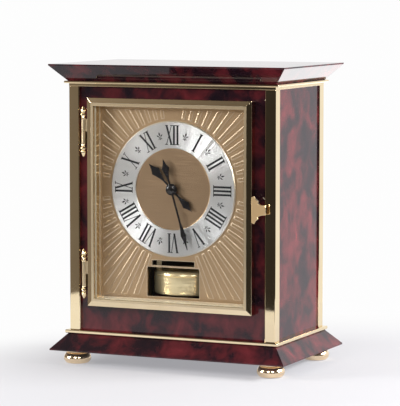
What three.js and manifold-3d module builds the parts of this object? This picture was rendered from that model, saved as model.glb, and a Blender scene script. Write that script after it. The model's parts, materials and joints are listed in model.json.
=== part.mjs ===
// Table clock with a torsion pendulum, in a flared lacquer and brass case.
// Millimetres, +Z up, the front looks towards -Y, the origin is on the floor under the middle of the case.

import * as THREE from 'three';
import { mergeVertices } from 'three/addons/utils/BufferGeometryUtils.js';
import Module from 'manifold-3d';

const wasm = await Module();
wasm.setup();

// Clearances
const FIT = 0.2; // a fixed piece in its seat
const RUN = 0.1; // a shaft in its bore, on the radius
const TOUCH = 0.3; // end play between turning pieces

// Case
const CASE_DEPTH = 102.7; // front to rear over the corner posts
const FOOT_HEIGHT = 11.5;
const PLINTH_HEIGHT = 13.6;
const CORNICE_HEIGHT = 13.7;
const FLARE_SIDE = 12.4; // plinth and cornice past the posts at the sides
const FLARE_FRONT = 13; // the same at the front and the rear
const FLARE_NECK = 0.8; // the narrow end of a flare past the posts
const FLARE_EDGE = 1.1; // upright edge at the wide end of a flare
const BASE_PLATE = 2.8;
const TOP_PLATE = 2;
const TOP_STRIP = 2.4; // step of the top moulding that is flush with the posts
const PLATE_OVERHANG = 3.1;
const PLATE_CHAMFER = 0.5;
const POST_LEG = 9.2;
const POST_THICK = 3;
const SIDE_RECESS = 1.4; // side panels' faces inside the posts' outer faces
const POST_CHAMFER = 0.5;
const PANEL_THICK = 3;

// Back panel fixing
const BATTEN_WIDTH = 12;
const BATTEN_DEPTH = 8;
const SCREW_INSET = 26; // screw from the panel's lower or upper end
const SCREW_SHANK = 1.3; // radius
const SCREW_LENGTH = 8;
const SCREW_HEAD = 2.8; // radius
const SCREW_HEAD_RISE = 1.5;

// Feet
const FOOT_RADIUS = 11.3;
const FOOT_PAD = 6.8; // radius of the flat underside
const FOOT_RING = 10.3; // radius of the ring under the plinth
const FOOT_RING_HEIGHT = 1.9;
const FOOT_GROOVE = 8.8; // radius of the groove below the ring
const FOOT_INSET_X = 5; // foot centre inside the posts' outer faces
const FOOT_INSET_Y = 3.35;
const STUD_RADIUS = 3;
const STUD_LENGTH = 8;

// Door
const DOOR_SIDE = 18.6; // door's edge to the posts' outer faces
const DOOR_RAISE = 20.85; // lower edge above the base moulding
const DOOR_DROP = 8.95; // upper edge below the posts' tops
const DOOR_DEPTH = 8.25;
const DOOR_GAP = 0.5; // closed door to the front panel
const BEZEL_BEVEL = 4;
const BEZEL_DROP = 1.2; // how far the bevel falls back
const BEZEL_FLAT = 2.4;
const GLASS_LIP = 2; // metal in front of the glass
const GLASS_THICK = 2;
const GLASS_SEAT = 2; // how far the glass reaches behind the lip
const REVEAL_SPLAY = 0.12; // sideways per depth, of the walls round the dial

// Hinges
const HINGE_OFFSET = 3.4; // pin axis to the door's edge
const HINGE_SETBACK = 2.1; // pin axis behind the door's front
const HINGE_UPPER = 57.2; // hinge middle above the door's middle
const HINGE_LOWER = 58.8; // hinge middle below the door's middle
const KNUCKLE_RADIUS = 1.9;
const KNUCKLE_LENGTH = 10.2;
const HINGE_PIN_RADIUS = 0.95;
const HINGE_LEAF = 1.2; // leaf thickness
const FINIAL_LENGTH = 10.2;
const FINIAL_RADIUS = 2.3;

// Door pull
const PULL_REACH = 12.4; // from the door's edge to the tip
const PULL_HEIGHT = 22.2;
const PULL_THICK = 2.2;
const PULL_RAISE = 0.6; // pull's middle below the door's middle

// Dial
const DIAL_SETBACK = 2.15; // dial face behind the front panel's face
const DIAL_INSET = 7.7; // dial opening inside the door's edges
const DIAL_THICK = 1.5;
const DIAL_SEAT = 1.2; // how far the dial reaches behind the surround
const SURROUND_WALL = 1;
const CHAPTER_OUTER = 54.9; // radius
const CHAPTER_WIDTH = 22.1;
const CHAPTER_THICK = 1.2;
const CHAPTER_SIDE = 9.8; // chapter ring to the opening's sides
const CHAPTER_DROP = 9.75; // chapter ring to the opening's upper edge
const CENTRE_DISC_THICK = 0.5;
const WINDOW_WIDTH = 46;
const WINDOW_HEIGHT = 23.8;
const WINDOW_RAISE = 2.15; // above the opening's lower edge
const WINDOW_BAR = 1.5; // between window and slot
const SLOT_WIDTH = 37.2;
const SLOT_HEIGHT = 4;
const SLOT_GAP = 3.2; // slot to the chapter ring
const DIAL_FOOT_RADIUS = 1.8;
const DIAL_FOOT_X = 27;
const DIAL_FOOT_UP = 38;
const DIAL_FOOT_DOWN = 40;

// Hands, clock angles in degrees from twelve
const MINUTE_ANGLE = 163.5;
const HOUR_ANGLE = 314.6;
const HAND_THICK = 0.6;
const HAND_STANDOFF = 1.1; // hour hand in front of the chapter ring
const HAND_GAP = 0.9;
const HAND_STEM = 0.8; // half width of the thin stem
const HAND_HUB = 4.8; // radius
const MINUTE_LENGTH = 50.3;
const MINUTE_SPADE = 2.4; // half width
const MINUTE_TAIL = 25.2;
const HOUR_LENGTH = 28.4;
const HOUR_SPADE = 4.1; // half width
const HOUR_TAIL = 24.4;
const TAIL_SPADE = 3.4; // half width
const CAP_RADIUS = 3.4;
const CAP_RISE = 1.6;

// Movement frame
const MOVEMENT_GAP = 5; // dial to front plate
const MOVEMENT_PLATE = 2;
const MOVEMENT_SPACE = 14; // between the plates
const MOVEMENT_WIDTH = 64;
const MOVEMENT_RISE = 46; // plates above the hand centre
const PILLAR_RADIUS = 2.5;
const PILLAR_INSET = 5;
const COLUMN_RADIUS = 3.2;
const COLUMN_FLANGE = 5; // radius
const COLUMN_FLANGE_HEIGHT = 3;
const COLUMN_INSET = 5; // column axis inside the platform's ends
const PLATFORM_CLEAR = 2.7; // platform above the pendulum's hub
const PLATFORM_THICK = 3;
const PLATFORM_WIDTH = 84;

// Wheels: teeth, modules and arbors
const ADDENDUM = 0.8; // shares of the module
const DEDENDUM = 1.1;
const TOOTH_TIP = 0.18; // shares of half a pitch
const TOOTH_ROOT = 0.6;
const TRAIN_MODULE = 0.7;
const CANNON_TEETH = 10;
const MINUTE_WHEEL_TEETH = 30;
const MINUTE_PINION_TEETH = 8;
const HOUR_WHEEL_TEETH = 32;
const CENTRE_WHEEL_TEETH = 24;
const THIRD_PINION_TEETH = 12;
const THIRD_WHEEL_TEETH = 24;
const ESCAPE_PINION_TEETH = 12;
const CENTRE_PINION_TEETH = 8;
const BARREL_TEETH = 48;
const ESCAPE_TEETH = 15;
const ESCAPE_RADIUS = 9;
const ESCAPE_ROOT = 6.8; // radius
const RATCHET_TEETH = 16;
const RATCHET_RADIUS = 7;
const RATCHET_ROOT = 5.8; // radius
const WHEEL_THICK = 1.2;
const PINION_THICK = 1.6;
const ARBOR_RADIUS = 1.2;
const CENTRE_ARBOR = 1.3; // radius
const CANNON_PIPE = 2.2; // radius
const HOUR_PIPE = 3.4; // radius
const WINDING_ARBOR = 2; // radius
const WINDING_REACH = 1.9; // winding arbor behind the back plate
const BARREL_DRUM = 14.5; // radius
const BARREL_DEPTH = 6.8;
const MINUTE_WHEEL_BEARING = 200; // directions in degrees from +X towards +Z
const THIRD_BEARING = 120;
const ESCAPE_BEARING = 30;
const PALLET_DISTANCE = 13.5; // pallet arbor above the escape arbor
const PALLET_CLEAR = 1.9; // pallets outside the escape wheel
const PALLET_SPAN = 47; // half the angle between the pallets
const PALLET_WIDTH = 1.8;
const PALLET_HUB = 2.2; // radius

// Pendulum and suspension
const PENDULUM_SETBACK = 32; // axis behind the dial face
const PENDULUM_RADIUS = 29;
const PENDULUM_WALL = 8;
const PENDULUM_HEIGHT = 19.2;
const PENDULUM_RAISE = 0.5; // above the window's lower edge
const PENDULUM_ROUND = 1.4; // rounding of its lower edge
const PENDULUM_LIP = 3; // height of the rounded lip at its top
const PENDULUM_GROOVE = 0.5; // depth of the groove under the lip
const STRAP_WIDTH = 4;
const STRAP_THICK = 2.6;
const STRAP_RISE = 6.3; // strap above the ring
const STRAP_BEARING = 24; // turn of the strap from the X axis
const HUB_RADIUS = 3;
const HUB_HEIGHT = 3;
const WIRE_RADIUS = 0.4;
const WIRE_HOLE = 1.6; // radius
const TUBE_RADIUS = 4.5;
const TUBE_WALL = 1.2;
const TUBE_RISE = 41.9; // tube's top above the hand centre

// Temperature motor
const BRACKET_SETBACK = 13.2; // upright bracket behind the pendulum axis
const BRACKET_THICK = 3;
const BRACKET_WIDTH = 60;
const BRACKET_RISE = 40.9; // bracket's top above the hand centre
const BELLOWS_RADIUS = 36;
const BELLOWS_DEPTH = 30;
const BELLOWS_WALL = 1.5;
const CAPSULE_RADIUS = 31;
const CAPSULE_DEPTH = 13;
const CAPSULE_FOLDS = 4;
const CAPSULE_FOLD_DEPTH = 3;
const PLUNGER_RADIUS = 12;
const PLUNGER_THICK = 2;
const PLUNGER_ROD = 2; // radius
const PLUNGER_ROD_REACH = 4; // rod in front of the bracket
const SPRING_RADIUS = 9;
const SPRING_WIRE = 0.9; // radius
const SPRING_TURNS = 4;

// Round pieces are drawn with these numbers of sides
const SIDES_BORE = 16;
const SIDES_ARBOR = 12;
const SIDES_TURNED = 16;
const SIDES_LARGE = 40;

// Widths and heights that follow from the dial
const dialOpenWidth = 2 * (CHAPTER_OUTER + CHAPTER_SIDE);
const doorWidth = dialOpenWidth + 2 * DIAL_INSET;
const caseWidth = doorWidth + 2 * DOOR_SIDE;
const windowZone = WINDOW_RAISE + WINDOW_HEIGHT + WINDOW_BAR + SLOT_HEIGHT + SLOT_GAP;
const dialOpenHeight = windowZone + 2 * CHAPTER_OUTER + CHAPTER_DROP;
const doorHeight = dialOpenHeight + 2 * DIAL_INSET;
const chapterInner = CHAPTER_OUTER - CHAPTER_WIDTH;

// Heights, from the floor up
const plinthTop = FOOT_HEIGHT + PLINTH_HEIGHT;
const postBottom = plinthTop + BASE_PLATE;
const postTop = postBottom + DOOR_RAISE + doorHeight + DOOR_DROP;
const stripTop = postTop + TOP_STRIP;
const corniceBottom = stripTop + TOP_PLATE;
const doorMiddle = postBottom + DOOR_RAISE + doorHeight / 2;
const openBottom = doorMiddle - dialOpenHeight / 2;
const windowBottom = openBottom + WINDOW_RAISE;
const handCentre = openBottom + windowZone + CHAPTER_OUTER;
const ringBottom = windowBottom + PENDULUM_RAISE;
const ringTop = ringBottom + PENDULUM_HEIGHT;
const strapBottom = ringTop + STRAP_RISE;
const hubTop = strapBottom + STRAP_THICK + HUB_HEIGHT;
const platformBottom = hubTop + PLATFORM_CLEAR;
const platformTop = platformBottom + PLATFORM_THICK;
const tubeTop = handCentre + TUBE_RISE;

// Depths, from the front to the rear
const halfWidth = caseWidth / 2;
const halfDepth = CASE_DEPTH / 2;
const footX = halfWidth - FOOT_INSET_X;
const footY = halfDepth - FOOT_INSET_Y;
const panelFront = -halfDepth + POST_THICK;
const doorBack = panelFront - DOOR_GAP;
const doorFront = doorBack - DOOR_DEPTH;
const glassFront = doorFront + GLASS_LIP;
const glassBack = glassFront + GLASS_THICK;
const dialFront = panelFront + DIAL_SETBACK;
const dialBack = dialFront + DIAL_THICK;
const chapterFront = dialFront - CHAPTER_THICK;
const hourHandBack = chapterFront - HAND_STANDOFF;
const hourHandFront = hourHandBack - HAND_THICK;
const minuteHandBack = hourHandFront - HAND_GAP;
const minuteHandFront = minuteHandBack - HAND_THICK;
const frontPlateFront = dialBack + MOVEMENT_GAP;
const frontPlateBack = frontPlateFront + MOVEMENT_PLATE;
const backPlateFront = frontPlateBack + MOVEMENT_SPACE;
const backPlateBack = backPlateFront + MOVEMENT_PLATE;
const pendulumAxis = dialFront + PENDULUM_SETBACK;
const bracketFront = pendulumAxis + BRACKET_SETBACK;
const bracketBack = bracketFront + BRACKET_THICK;
const bellowsBack = bracketBack + BELLOWS_DEPTH;
const capsuleBack = bellowsBack - BELLOWS_WALL - TOUCH;
const capsuleFront = capsuleBack - CAPSULE_DEPTH;
const plungerBack = capsuleFront - TOUCH;
const plungerFront = plungerBack - PLUNGER_THICK;

// Layers of the movement, each named by its front face
const minuteWheelLayer = frontPlateFront - TOUCH - PINION_THICK;
const hourWheelLayer = minuteWheelLayer - TOUCH - PINION_THICK;
const centreWheelLayer = frontPlateBack + PINION_THICK / 2;
const thirdWheelLayer = centreWheelLayer + 3 * WHEEL_THICK;
const escapeWheelLayer = thirdWheelLayer + 3 * WHEEL_THICK;
const barrelRimLayer = centreWheelLayer + PINION_THICK + TOUCH + BARREL_DEPTH;

// Materials
const LACQUER = { color: 0x4a1620, roughness: 0.12, metalness: 0 };
const POLISHED_BRASS = { color: 0xd9b66a, roughness: 0.15, metalness: 1 };
const GILT = { color: 0xc6a46c, roughness: 0.35, metalness: 1 };
const SILVERED = { color: 0xdcdce0, roughness: 0.3, metalness: 1 };
const BLACK_STEEL = { color: 0x15161a, roughness: 0.3, metalness: 0.6 };
const STEEL = { color: 0xb9bcc0, roughness: 0.3, metalness: 1 };
const CLEAR_GLASS = { color: 0xeef4f4, roughness: 0.05, metalness: 0 };

const clock = new THREE.Group();

function merged(geometry) {
  const bare = geometry.index ? geometry.toNonIndexed() : geometry.clone();
  bare.deleteAttribute('normal');
  bare.deleteAttribute('uv');
  const welded = mergeVertices(bare, 1e-4);
  const corners = welded.index.array;
  const kept = [];
  for (let i = 0; i < corners.length; i += 3) {
    const [a, b, c] = [corners[i], corners[i + 1], corners[i + 2]];
    if (a !== b && b !== c && c !== a) kept.push(a, b, c);
  }
  return { points: welded.attributes.position.array, corners: kept };
}

function signedVolume({ points, corners }) {
  const at = (i) => new THREE.Vector3().fromArray(points, 3 * i);
  let sum = 0;
  for (let i = 0; i < corners.length; i += 3) {
    sum += at(corners[i]).dot(at(corners[i + 1]).cross(at(corners[i + 2])));
  }
  return sum / 6;
}

// A geometry as a closed solid that faces outwards
function solid(geometry) {
  const mesh = merged(geometry);
  if (signedVolume(mesh) < 0) mesh.corners.reverse();
  return new wasm.Manifold(
    new wasm.Mesh({
      numProp: 3,
      vertProperties: new Float32Array(mesh.points),
      triVerts: new Uint32Array(mesh.corners),
    }),
  );
}

function join(first, ...others) {
  return others.reduce((whole, piece) => whole.add(piece), first);
}

function cut(whole, ...tools) {
  return tools.reduce((left, tool) => left.subtract(tool), whole);
}

function place(name, body, look) {
  const mesh = body.getMesh();
  const geometry = new THREE.BufferGeometry();
  geometry.setAttribute('position', new THREE.BufferAttribute(mesh.vertProperties, 3));
  geometry.setIndex(new THREE.BufferAttribute(mesh.triVerts, 1));
  geometry.computeVertexNormals();
  const piece = new THREE.Mesh(geometry, new THREE.MeshStandardMaterial(look));
  piece.name = name;
  clock.add(piece);
}

function box([x0, x1], [y0, y1], [z0, z1]) {
  const geometry = new THREE.BoxGeometry(x1 - x0, y1 - y0, z1 - z0);
  geometry.translate((x0 + x1) / 2, (y0 + y1) / 2, (z0 + z1) / 2);
  return solid(geometry);
}

// A flat outline in X and Z, as thick as from one depth to another
function plateY(shape, front, back) {
  const settings = { depth: back - front, bevelEnabled: false, curveSegments: 8 };
  const geometry = new THREE.ExtrudeGeometry(shape, settings);
  geometry.rotateX(Math.PI / 2);
  geometry.translate(0, back, 0);
  return solid(geometry);
}

// A flat outline in X and Y, from one height to another
function prismZ(shape, bottom, top) {
  const geometry = new THREE.ExtrudeGeometry(shape, { depth: top - bottom, bevelEnabled: false });
  geometry.translate(0, 0, bottom);
  return solid(geometry);
}

function turned(profile, sides) {
  return new THREE.LatheGeometry(profile.map(([r, along]) => new THREE.Vector2(r, along)), sides);
}

// Turned about an axis along Y: pairs of radius and depth
function turnedY(profile, sides, x, z) {
  return solid(turned(profile, sides).translate(x, 0, z));
}

// Turned about an upright axis: pairs of radius and height
function turnedZ(profile, sides, x, y) {
  return solid(turned(profile, sides).rotateX(Math.PI / 2).translate(x, y, 0));
}

function rod(radius, low, high) {
  return [[0, low], [radius, low], [radius, high], [0, high]];
}

// Points of a curved edge after its first point
function bend(from, control, to) {
  const [a, b, c] = [from, control, to].map(([x, y]) => new THREE.Vector2(x, y));
  return new THREE.QuadraticBezierCurve(a, b, c).getPoints(4).slice(1).map(({ x, y }) => [x, y]);
}

function rodY(radius, front, back, x, z, sides = SIDES_ARBOR) {
  return turnedY(rod(radius, front, back), sides, x, z);
}

function rodZ(radius, bottom, top, x, y, sides = SIDES_ARBOR) {
  return turnedZ(rod(radius, bottom, top), sides, x, y);
}

function polygon(points) {
  return new THREE.Shape(points.map(([a, b]) => new THREE.Vector2(a, b)));
}

function rectangle(width, low, high) {
  return [[-width / 2, low], [width / 2, low], [width / 2, high], [-width / 2, high]];
}

// Faces of a stack of rings with equally many points, rings counted first
function ringFaces(rings, sides, closed) {
  const faces = [];
  const last = closed ? rings : rings - 1;
  for (let i = 0; i < last; i += 1) {
    const next = (i + 1) % rings;
    for (let k = 0; k < sides; k += 1) {
      const side = (k + 1) % sides;
      const [a, b] = [i * sides + k, i * sides + side];
      const [c, d] = [next * sides + side, next * sides + k];
      faces.push(a, b, c, a, c, d);
    }
  }
  return faces;
}

function meshOf(points, faces) {
  const geometry = new THREE.BufferGeometry();
  geometry.setAttribute('position', new THREE.Float32BufferAttribute(points.flat(), 3));
  geometry.setIndex(faces);
  return solid(geometry);
}

// A block with a rectangular plan that changes from level to level: half width, half depth, height
function flared(levels) {
  const points = levels.flatMap(([x, y, z]) => [[-x, -y, z], [x, -y, z], [x, y, z], [-x, y, z]]);
  const top = points.length - 4;
  const caps = [0, 2, 1, 0, 3, 2, top, top + 1, top + 2, top, top + 2, top + 3];
  return meshOf(points, [...ringFaces(levels.length, 4, false), ...caps]);
}

// A mitred frame round the door's middle, from a closed section of half width, half height and depth
function mitred(section) {
  const corners = [[-1, -1], [1, -1], [1, 1], [-1, 1]];
  const points = section.flatMap(([x, z, y]) => corners.map(([i, k]) => [i * x, y, doorMiddle + k * z]));
  return meshOf(points, ringFaces(section.length, 4, true));
}

function baseMoulding() {
  const [x, y] = [halfWidth + PLATE_OVERHANG, halfDepth + PLATE_OVERHANG];
  return flared([
    [x - PLATE_CHAMFER, y - PLATE_CHAMFER, plinthTop],
    [x, y, plinthTop + PLATE_CHAMFER],
    [x, y, postBottom - PLATE_CHAMFER],
    [x - PLATE_CHAMFER, y - PLATE_CHAMFER, postBottom],
  ]);
}

function topMoulding() {
  const [x, y] = [halfWidth + PLATE_OVERHANG, halfDepth + PLATE_OVERHANG];
  return flared([
    [halfWidth, halfDepth, postTop],
    [halfWidth, halfDepth, stripTop],
    [x - PLATE_CHAMFER, y - PLATE_CHAMFER, stripTop],
    [x, y, stripTop + PLATE_CHAMFER],
    [x, y, corniceBottom - PLATE_CHAMFER],
    [x - PLATE_CHAMFER, y - PLATE_CHAMFER, corniceBottom],
  ]);
}

function flareLevels(narrow, wide, edge) {
  const [nx, ny] = [halfWidth + FLARE_NECK, halfDepth + FLARE_NECK];
  const [wx, wy] = [halfWidth + FLARE_SIDE, halfDepth + FLARE_FRONT];
  return [[nx, ny, narrow], [wx, wy, edge], [wx, wy, wide]];
}

function plinth() {
  const block = flared(flareLevels(plinthTop, FOOT_HEIGHT, FOOT_HEIGHT + FLARE_EDGE).reverse());
  const deep = FOOT_HEIGHT + STUD_LENGTH + TOUCH;
  const hole = (x, y) => rodZ(STUD_RADIUS + FIT, FOOT_HEIGHT - 1, deep, x, y, SIDES_TURNED);
  const holes = [-1, 1].flatMap((i) => [-1, 1].map((k) => hole(i * footX, k * footY)));
  return cut(block, ...holes);
}

function cornice() {
  const top = corniceBottom + CORNICE_HEIGHT;
  return flared(flareLevels(corniceBottom, top, top - FLARE_EDGE));
}

function cornerPost(i, k) {
  const [t, leg, c] = [POST_THICK, POST_LEG, POST_CHAMFER];
  const outline = [
    [c, 0], [leg - c, 0], [leg, c], [leg, t], [t, t], [t, leg], [c, leg], [0, leg - c], [0, c],
  ];
  const points = outline.map(([a, b]) => [i * (halfWidth - a), k * (halfDepth - b)]);
  return prismZ(polygon(points), postBottom, postTop);
}

const apertureWidth = dialOpenWidth + 2 * (DIAL_SEAT + FIT + SURROUND_WALL + FIT);
const apertureHeight = dialOpenHeight + 2 * (DIAL_SEAT + FIT + SURROUND_WALL + FIT);

function frontPanel() {
  const inner = caseWidth - 2 * POST_THICK;
  const shape = polygon(rectangle(inner, postBottom, postTop));
  const low = doorMiddle - apertureHeight / 2;
  shape.holes.push(polygon(rectangle(apertureWidth, low, low + apertureHeight)));
  return plateY(shape, panelFront, panelFront + PANEL_THICK);
}

const screwX = halfWidth - POST_THICK - PANEL_THICK - BATTEN_WIDTH / 2;
const screwHeights = [postBottom + SCREW_INSET, postTop - SCREW_INSET];
const backPanelFront = -panelFront - PANEL_THICK;

function sidePanel(i) {
  const outer = halfWidth - POST_THICK;
  const inner = outer - PANEL_THICK;
  const span = (a, b) => [Math.min(i * a, i * b), Math.max(i * a, i * b)];
  const board = box(span(inner, outer), [-backPanelFront, backPanelFront], [postBottom, postTop]);
  const between = halfDepth - POST_LEG - FIT;
  const field = box(span(outer, halfWidth - SIDE_RECESS), [-between, between], [postBottom, postTop]);
  const battenFront = backPanelFront - BATTEN_DEPTH;
  const batten = box(span(inner - BATTEN_WIDTH, inner), [battenFront, backPanelFront], [postBottom, postTop]);
  const reach = backPanelFront - SCREW_LENGTH + PANEL_THICK - TOUCH;
  const holes = screwHeights.map((z) => rodY(SCREW_SHANK + FIT, reach, backPanelFront + 1, i * screwX, z));
  return cut(join(board, field, batten), ...holes);
}

function backPanel() {
  const inner = halfWidth - POST_THICK;
  const board = box([-inner, inner], [backPanelFront, -panelFront], [postBottom, postTop]);
  const holes = [-1, 1].flatMap((i) => screwHeights.map((z) => rodY(
    SCREW_SHANK + FIT, backPanelFront - 1, 1 - panelFront, i * screwX, z)));
  return cut(board, ...holes);
}

function backScrew(x, z) {
  const seat = -panelFront;
  const [r, h] = [SCREW_HEAD, SCREW_HEAD_RISE];
  return turnedY([
    [0, seat - SCREW_LENGTH], [SCREW_SHANK, seat - SCREW_LENGTH], [SCREW_SHANK, seat], [r, seat],
    [r, seat + h / 3], [r * 0.7, seat + h * 0.85], [0, seat + h],
  ], SIDES_ARBOR, x, z);
}

function foot(x, y) {
  const ringBottomZ = FOOT_HEIGHT - FOOT_RING_HEIGHT;
  const bunTop = ringBottomZ - 0.6;
  const bun = [0.15, 0.35, 0.55, 0.75, 0.95].map((t) => {
    const swell = Math.sin(Math.PI * Math.min(1, 0.12 + 0.8 * t));
    const edge = FOOT_PAD + (FOOT_GROOVE - FOOT_PAD) * t;
    return [edge + (FOOT_RADIUS - edge) * swell, bunTop * t];
  });
  return turnedZ([
    [0, 0], [FOOT_PAD, 0], ...bun, [FOOT_GROOVE, bunTop], [FOOT_GROOVE, ringBottomZ],
    [FOOT_RING, ringBottomZ + 0.3], [FOOT_RING, FOOT_HEIGHT], [STUD_RADIUS, FOOT_HEIGHT],
    [STUD_RADIUS, FOOT_HEIGHT + STUD_LENGTH], [0, FOOT_HEIGHT + STUD_LENGTH],
  ], SIDES_TURNED, x, y);
}

const bezelInnerX = doorWidth / 2 - BEZEL_BEVEL - BEZEL_FLAT;
const bezelInnerZ = doorHeight / 2 - BEZEL_BEVEL - BEZEL_FLAT;

function doorFrame() {
  const [x, z] = [doorWidth / 2, doorHeight / 2];
  return mitred([
    [x, z, doorBack],
    [x, z, doorFront + BEZEL_DROP],
    [x - BEZEL_BEVEL, z - BEZEL_BEVEL, doorFront],
    [bezelInnerX, bezelInnerZ, doorFront],
    [bezelInnerX, bezelInnerZ, glassFront],
    [bezelInnerX + GLASS_SEAT, bezelInnerZ + GLASS_SEAT, glassFront],
    [bezelInnerX + GLASS_SEAT, bezelInnerZ + GLASS_SEAT, doorBack],
  ]);
}

const glassX = bezelInnerX + GLASS_SEAT - FIT;
const glassZ = bezelInnerZ + GLASS_SEAT - FIT;

function doorGlass() {
  return box([-glassX, glassX], [glassFront, glassBack], [doorMiddle - glassZ, doorMiddle + glassZ]);
}

// Half width, half height and depth of the splayed wall at a depth
function reveal(depth) {
  const out = REVEAL_SPLAY * (dialFront - depth);
  return [dialOpenWidth / 2 + out, dialOpenHeight / 2 + out, depth];
}

function glassBead() {
  const outer = [[glassX, glassZ, doorBack], [glassX, glassZ, glassBack]];
  return mitred([...outer, reveal(glassBack), reveal(doorBack)]);
}

function dialSurround() {
  const seat = DIAL_SEAT + FIT;
  const [x, z] = [dialOpenWidth / 2, dialOpenHeight / 2];
  const wall = seat + SURROUND_WALL;
  return mitred([
    [x + wall, z + wall, dialBack],
    [x + wall, z + wall, panelFront],
    reveal(panelFront),
    reveal(dialFront),
    [x + seat, z + seat, dialFront],
    [x + seat, z + seat, dialBack],
  ]);
}

const hingeX = -doorWidth / 2 - HINGE_OFFSET;
const hingeY = doorFront + HINGE_SETBACK;
const hingeHeights = { upper: doorMiddle + HINGE_UPPER, lower: doorMiddle - HINGE_LOWER };

function knuckle(bottom, top, leaf) {
  const barrel = rodZ(KNUCKLE_RADIUS, bottom, top, hingeX, hingeY);
  const bore = rodZ(HINGE_PIN_RADIUS + RUN, bottom - 1, top + 1, hingeX, hingeY, SIDES_BORE);
  return cut(join(barrel, leaf), bore);
}

function doorKnuckle(middle) {
  const [bottom, top] = [middle + TOUCH / 2, middle + KNUCKLE_LENGTH];
  const half = HINGE_LEAF / 2;
  return knuckle(bottom, top, box([hingeX, -doorWidth / 2], [hingeY - half, hingeY + half], [bottom, top]));
}

function caseKnuckle(middle) {
  const [bottom, top] = [middle - KNUCKLE_LENGTH, middle - TOUCH / 2];
  const half = HINGE_LEAF / 2;
  return knuckle(bottom, top, box([hingeX - half, hingeX + half], [hingeY, panelFront], [bottom, top]));
}

function hingePin(middle) {
  const start = KNUCKLE_LENGTH + RUN;
  const [r, n] = [FINIAL_RADIUS, FINIAL_LENGTH];
  const finial = [
    [HINGE_PIN_RADIUS, start], [r * 0.9, start], [r * 0.9, start + 0.1 * n],
    [r * 0.55, start + 0.16 * n], [r, start + 0.32 * n], [r * 0.6, start + 0.48 * n],
    [r * 0.95, start + 0.58 * n], [r * 0.7, start + 0.75 * n],
  ];
  const lower = finial.map(([radius, along]) => [radius, -along]).reverse();
  const profile = [[0, -start - n], ...lower, ...finial, [0, start + n]];
  return turnedZ(profile.map(([radius, along]) => [radius, middle + along]), SIDES_ARBOR, hingeX, hingeY);
}

function doorPull() {
  const edge = doorWidth / 2;
  const middle = doorMiddle - PULL_RAISE;
  const front = doorFront + BEZEL_DROP / 2;
  const half = [
    [0, 0.92], [0.2, 1], ...bend([0.2, 1], [0.27, 0.74], [0.5, 0.62]), [0.44, 0.5],
    ...bend([0.44, 0.5], [0.55, 0.38], [0.92, 0.34]), ...bend([0.92, 0.34], [1, 0.3], [1, 0.05]),
  ];
  const outline = [...half, ...half.map(([along, up]) => [along, -up]).reverse()];
  const plate = polygon(outline.map(([along, up]) => [
    edge + PULL_REACH * along, middle + (PULL_HEIGHT / 2) * up,
  ]));
  return plateY(plate, front, front + PULL_THICK);
}

function dialPlate() {
  const width = dialOpenWidth + 2 * DIAL_SEAT;
  const shape = polygon(rectangle(width, openBottom - DIAL_SEAT, openBottom + dialOpenHeight + DIAL_SEAT));
  const windowTop = windowBottom + WINDOW_HEIGHT;
  const slotBottom = windowTop + WINDOW_BAR;
  shape.holes.push(polygon(rectangle(WINDOW_WIDTH, windowBottom, windowTop)));
  shape.holes.push(polygon(rectangle(SLOT_WIDTH, slotBottom, slotBottom + SLOT_HEIGHT)));
  const hole = rodY(HOUR_PIPE + FIT, dialFront - 1, dialBack + 1, 0, handCentre, SIDES_BORE);
  const feet = [-1, 1].flatMap((i) => [DIAL_FOOT_UP, -DIAL_FOOT_DOWN].map((z) => rodY(
    DIAL_FOOT_RADIUS, dialFront + DIAL_THICK / 2, frontPlateFront, i * DIAL_FOOT_X, handCentre + z)));
  return join(cut(plateY(shape, dialFront, dialBack), hole), ...feet);
}

function chapterRing() {
  const [r0, r1] = [chapterInner, CHAPTER_OUTER];
  const profile = [[r0, dialFront], [r1, dialFront], [r1, chapterFront], [r0, chapterFront], [r0, dialFront]];
  return turnedY(profile, SIDES_LARGE, 0, handCentre);
}

function dialCentre() {
  const [r0, r1] = [HOUR_PIPE + FIT, chapterInner * Math.cos(Math.PI / SIDES_LARGE) - FIT];
  const face = dialFront - CENTRE_DISC_THICK;
  const profile = [[r0, dialFront], [r1, dialFront], [r1, face], [r0, face], [r0, dialFront]];
  return turnedY(profile, SIDES_LARGE, 0, handCentre);
}

// One arm of a spade hand along its own axis: half widths from the hub to the tip
function spadeArm(length, halfSpade, waist, widest) {
  const root = [length * waist, HAND_STEM];
  const shoulder = [length * widest, halfSpade];
  const hollow = [length * (waist + 0.5 * (widest - waist)), HAND_STEM + 0.35 * (halfSpade - HAND_STEM)];
  const flare = [length * (widest + 0.35 * (1 - widest)), halfSpade * 0.36];
  const tip = [length, HAND_STEM / 4];
  return [[0, HAND_STEM], root, ...bend(root, hollow, shoulder), ...bend(shoulder, flare, tip)];
}

// A two-armed hand in clock directions, with its hub bored for the pipe that carries it
function hand(angle, front, arm, tail, pipe) {
  const both = [...arm, ...arm.map(([r, w]) => [r, -w]).reverse()];
  const back = [...tail, ...tail.map(([r, w]) => [r, -w]).reverse()].map(([r, w]) => [-r, w]);
  const turn = THREE.MathUtils.degToRad(90 - angle);
  const outline = (points) => polygon(points.map(([r, w]) => [
    r * Math.cos(turn) - w * Math.sin(turn),
    handCentre + r * Math.sin(turn) + w * Math.cos(turn),
  ]));
  const rear = front + HAND_THICK;
  const blades = [both, back].map((points) => plateY(outline(points), front, rear));
  const hub = rodY(HAND_HUB, front, rear, 0, handCentre, SIDES_TURNED);
  const bore = rodY(pipe + RUN, front - 1, rear + 1, 0, handCentre, SIDES_BORE);
  return cut(join(hub, ...blades), bore);
}

function minuteHand() {
  const arm = spadeArm(MINUTE_LENGTH, MINUTE_SPADE, 0.56, 0.76);
  return hand(MINUTE_ANGLE, minuteHandFront, arm, spadeArm(MINUTE_TAIL, TAIL_SPADE, 0.36, 0.7), CANNON_PIPE);
}

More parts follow.
